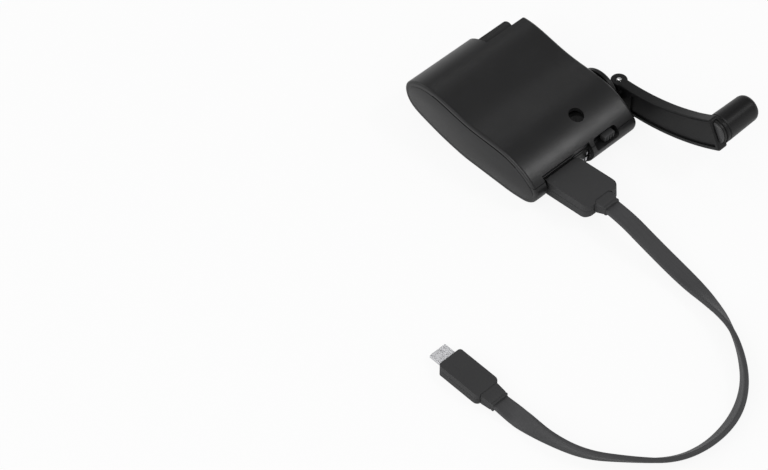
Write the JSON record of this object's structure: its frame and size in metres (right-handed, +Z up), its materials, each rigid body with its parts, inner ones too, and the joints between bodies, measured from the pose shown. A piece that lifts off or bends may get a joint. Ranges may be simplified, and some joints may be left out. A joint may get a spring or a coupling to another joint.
{
  "type": "hand crank phone charger",
  "caption": "Hand crank phone charger: a pocket casing with a folding side crank, a gear train and generator inside, and a flat USB lead plugged into its port.",
  "frame": {"origin": "centre of the flat on the casing's underside", "axes": "+Z up, -Y towards the port end, +Y towards the rounded nose, +X towards the crank"},
  "size_m": [0.1457, 0.171, 0.0254],
  "materials": {
    "casing": "fine satin texture, black",
    "crank": "satin, black",
    "plug": "matte, dark grey",
    "lead": "matte, dark grey",
    "steel": "bright",
    "spring_steel": "dark",
    "brass": "turned",
    "contact": "gold plated",
    "nylon": "natural nylon",
    "black_insert": "moulded",
    "white_insert": "moulded",
    "board": "solder mask",
    "magnet": "sintered",
    "winding": "enamelled copper",
    "lamp": "clear green tint",
    "lens": "smoked",
    "wire": "insulated wire"
  },
  "bodies": {
    "root": {"top_shell": "casing", "bottom_shell": "casing", "case_screws": "spring_steel", "gear_axle_1": "steel", "gear_axle_2": "steel", "gear_plate_inner": "steel", "gear_plate_outer": "steel", "plate_pillars": "brass", "shaft_bushing": "brass", "generator_can": "steel", "front_bearing": "brass", "generator_end_cap": "white_insert", "magnets": "magnet", "brushes": "contact", "usb_socket_shell": "steel", "usb_socket_tongue": "black_insert", "usb_socket_contacts": "contact", "circuit_board": "board", "capacitor": "steel", "regulator_chip": "black_insert", "rectifier_diodes": "black_insert", "indicator_led": "lamp", "indicator_lens": "lens", "switch_body": "steel", "generator_leads": "wire", "usb_a_overmold": "plug", "usb_a_relief": "plug", "usb_a_shell": "steel", "usb_a_insert": "white_insert", "usb_a_contacts": "contact", "flat_lead": "lead", "micro_overmold": "plug", "micro_relief": "plug", "micro_shell": "steel", "micro_insert": "black_insert"},
    "crank": {"crank_hub": "crank", "crank_shaft": "steel", "drive_gear": "nylon", "retaining_ring": "spring_steel", "hinge_pin": "steel"},
    "arm": {"crank_arm": "crank", "knob_axle": "steel"},
    "knob": {"crank_knob": "crank", "knob_cap": "crank"},
    "gear_1": {"compound_gear_1": "nylon"},
    "gear_2": {"compound_gear_2": "nylon"},
    "rotor": {"rotor": "winding", "rotor_shaft": "steel", "motor_pinion": "brass"},
    "slider": {"switch_slider": "crank"}
  },
  "joints": [
    {"name": "crank_spin", "type": "hinge", "parent": "root", "child": "crank", "pos_m": [0.026, -0.0041, 0.009], "axis": [1, 0, 0], "continuous": true},
    {"name": "arm_fold", "type": "hinge", "parent": "crank", "child": "arm", "pos_m": [0.0315, -0.00815, 0.0077], "axis": [0, 0.0366, 0.9993], "range_deg": [0, 180]},
    {"name": "knob_spin", "type": "hinge", "parent": "arm", "child": "knob", "pos_m": [0.04, -0.05136, 0.02], "axis": [1, 0, 0], "continuous": true},
    {"name": "gear_1_spin", "type": "hinge", "parent": "root", "child": "gear_1", "pos_m": [0.018, 0.0039, 0.009], "axis": [1, 0, 0], "continuous": true},
    {"name": "gear_2_spin", "type": "hinge", "parent": "root", "child": "gear_2", "pos_m": [0.018, 0.0119, 0.009], "axis": [1, 0, 0], "continuous": true},
    {"name": "rotor_spin", "type": "hinge", "parent": "root", "child": "rotor", "pos_m": [0.006, 0.0199, 0.009], "axis": [1, 0, 0], "continuous": true},
    {"name": "switch_slide", "type": "slide", "parent": "root", "child": "slider", "axis": [1, 0, 0], "range_m": [-0.0044, 0]}
  ],
  "couplings": [
    {"joint": "gear_1_spin", "follows": "crank_spin", "ratio": -3},
    {"joint": "gear_2_spin", "follows": "crank_spin", "ratio": 9},
    {"joint": "rotor_spin", "follows": "crank_spin", "ratio": -27}
  ]
}
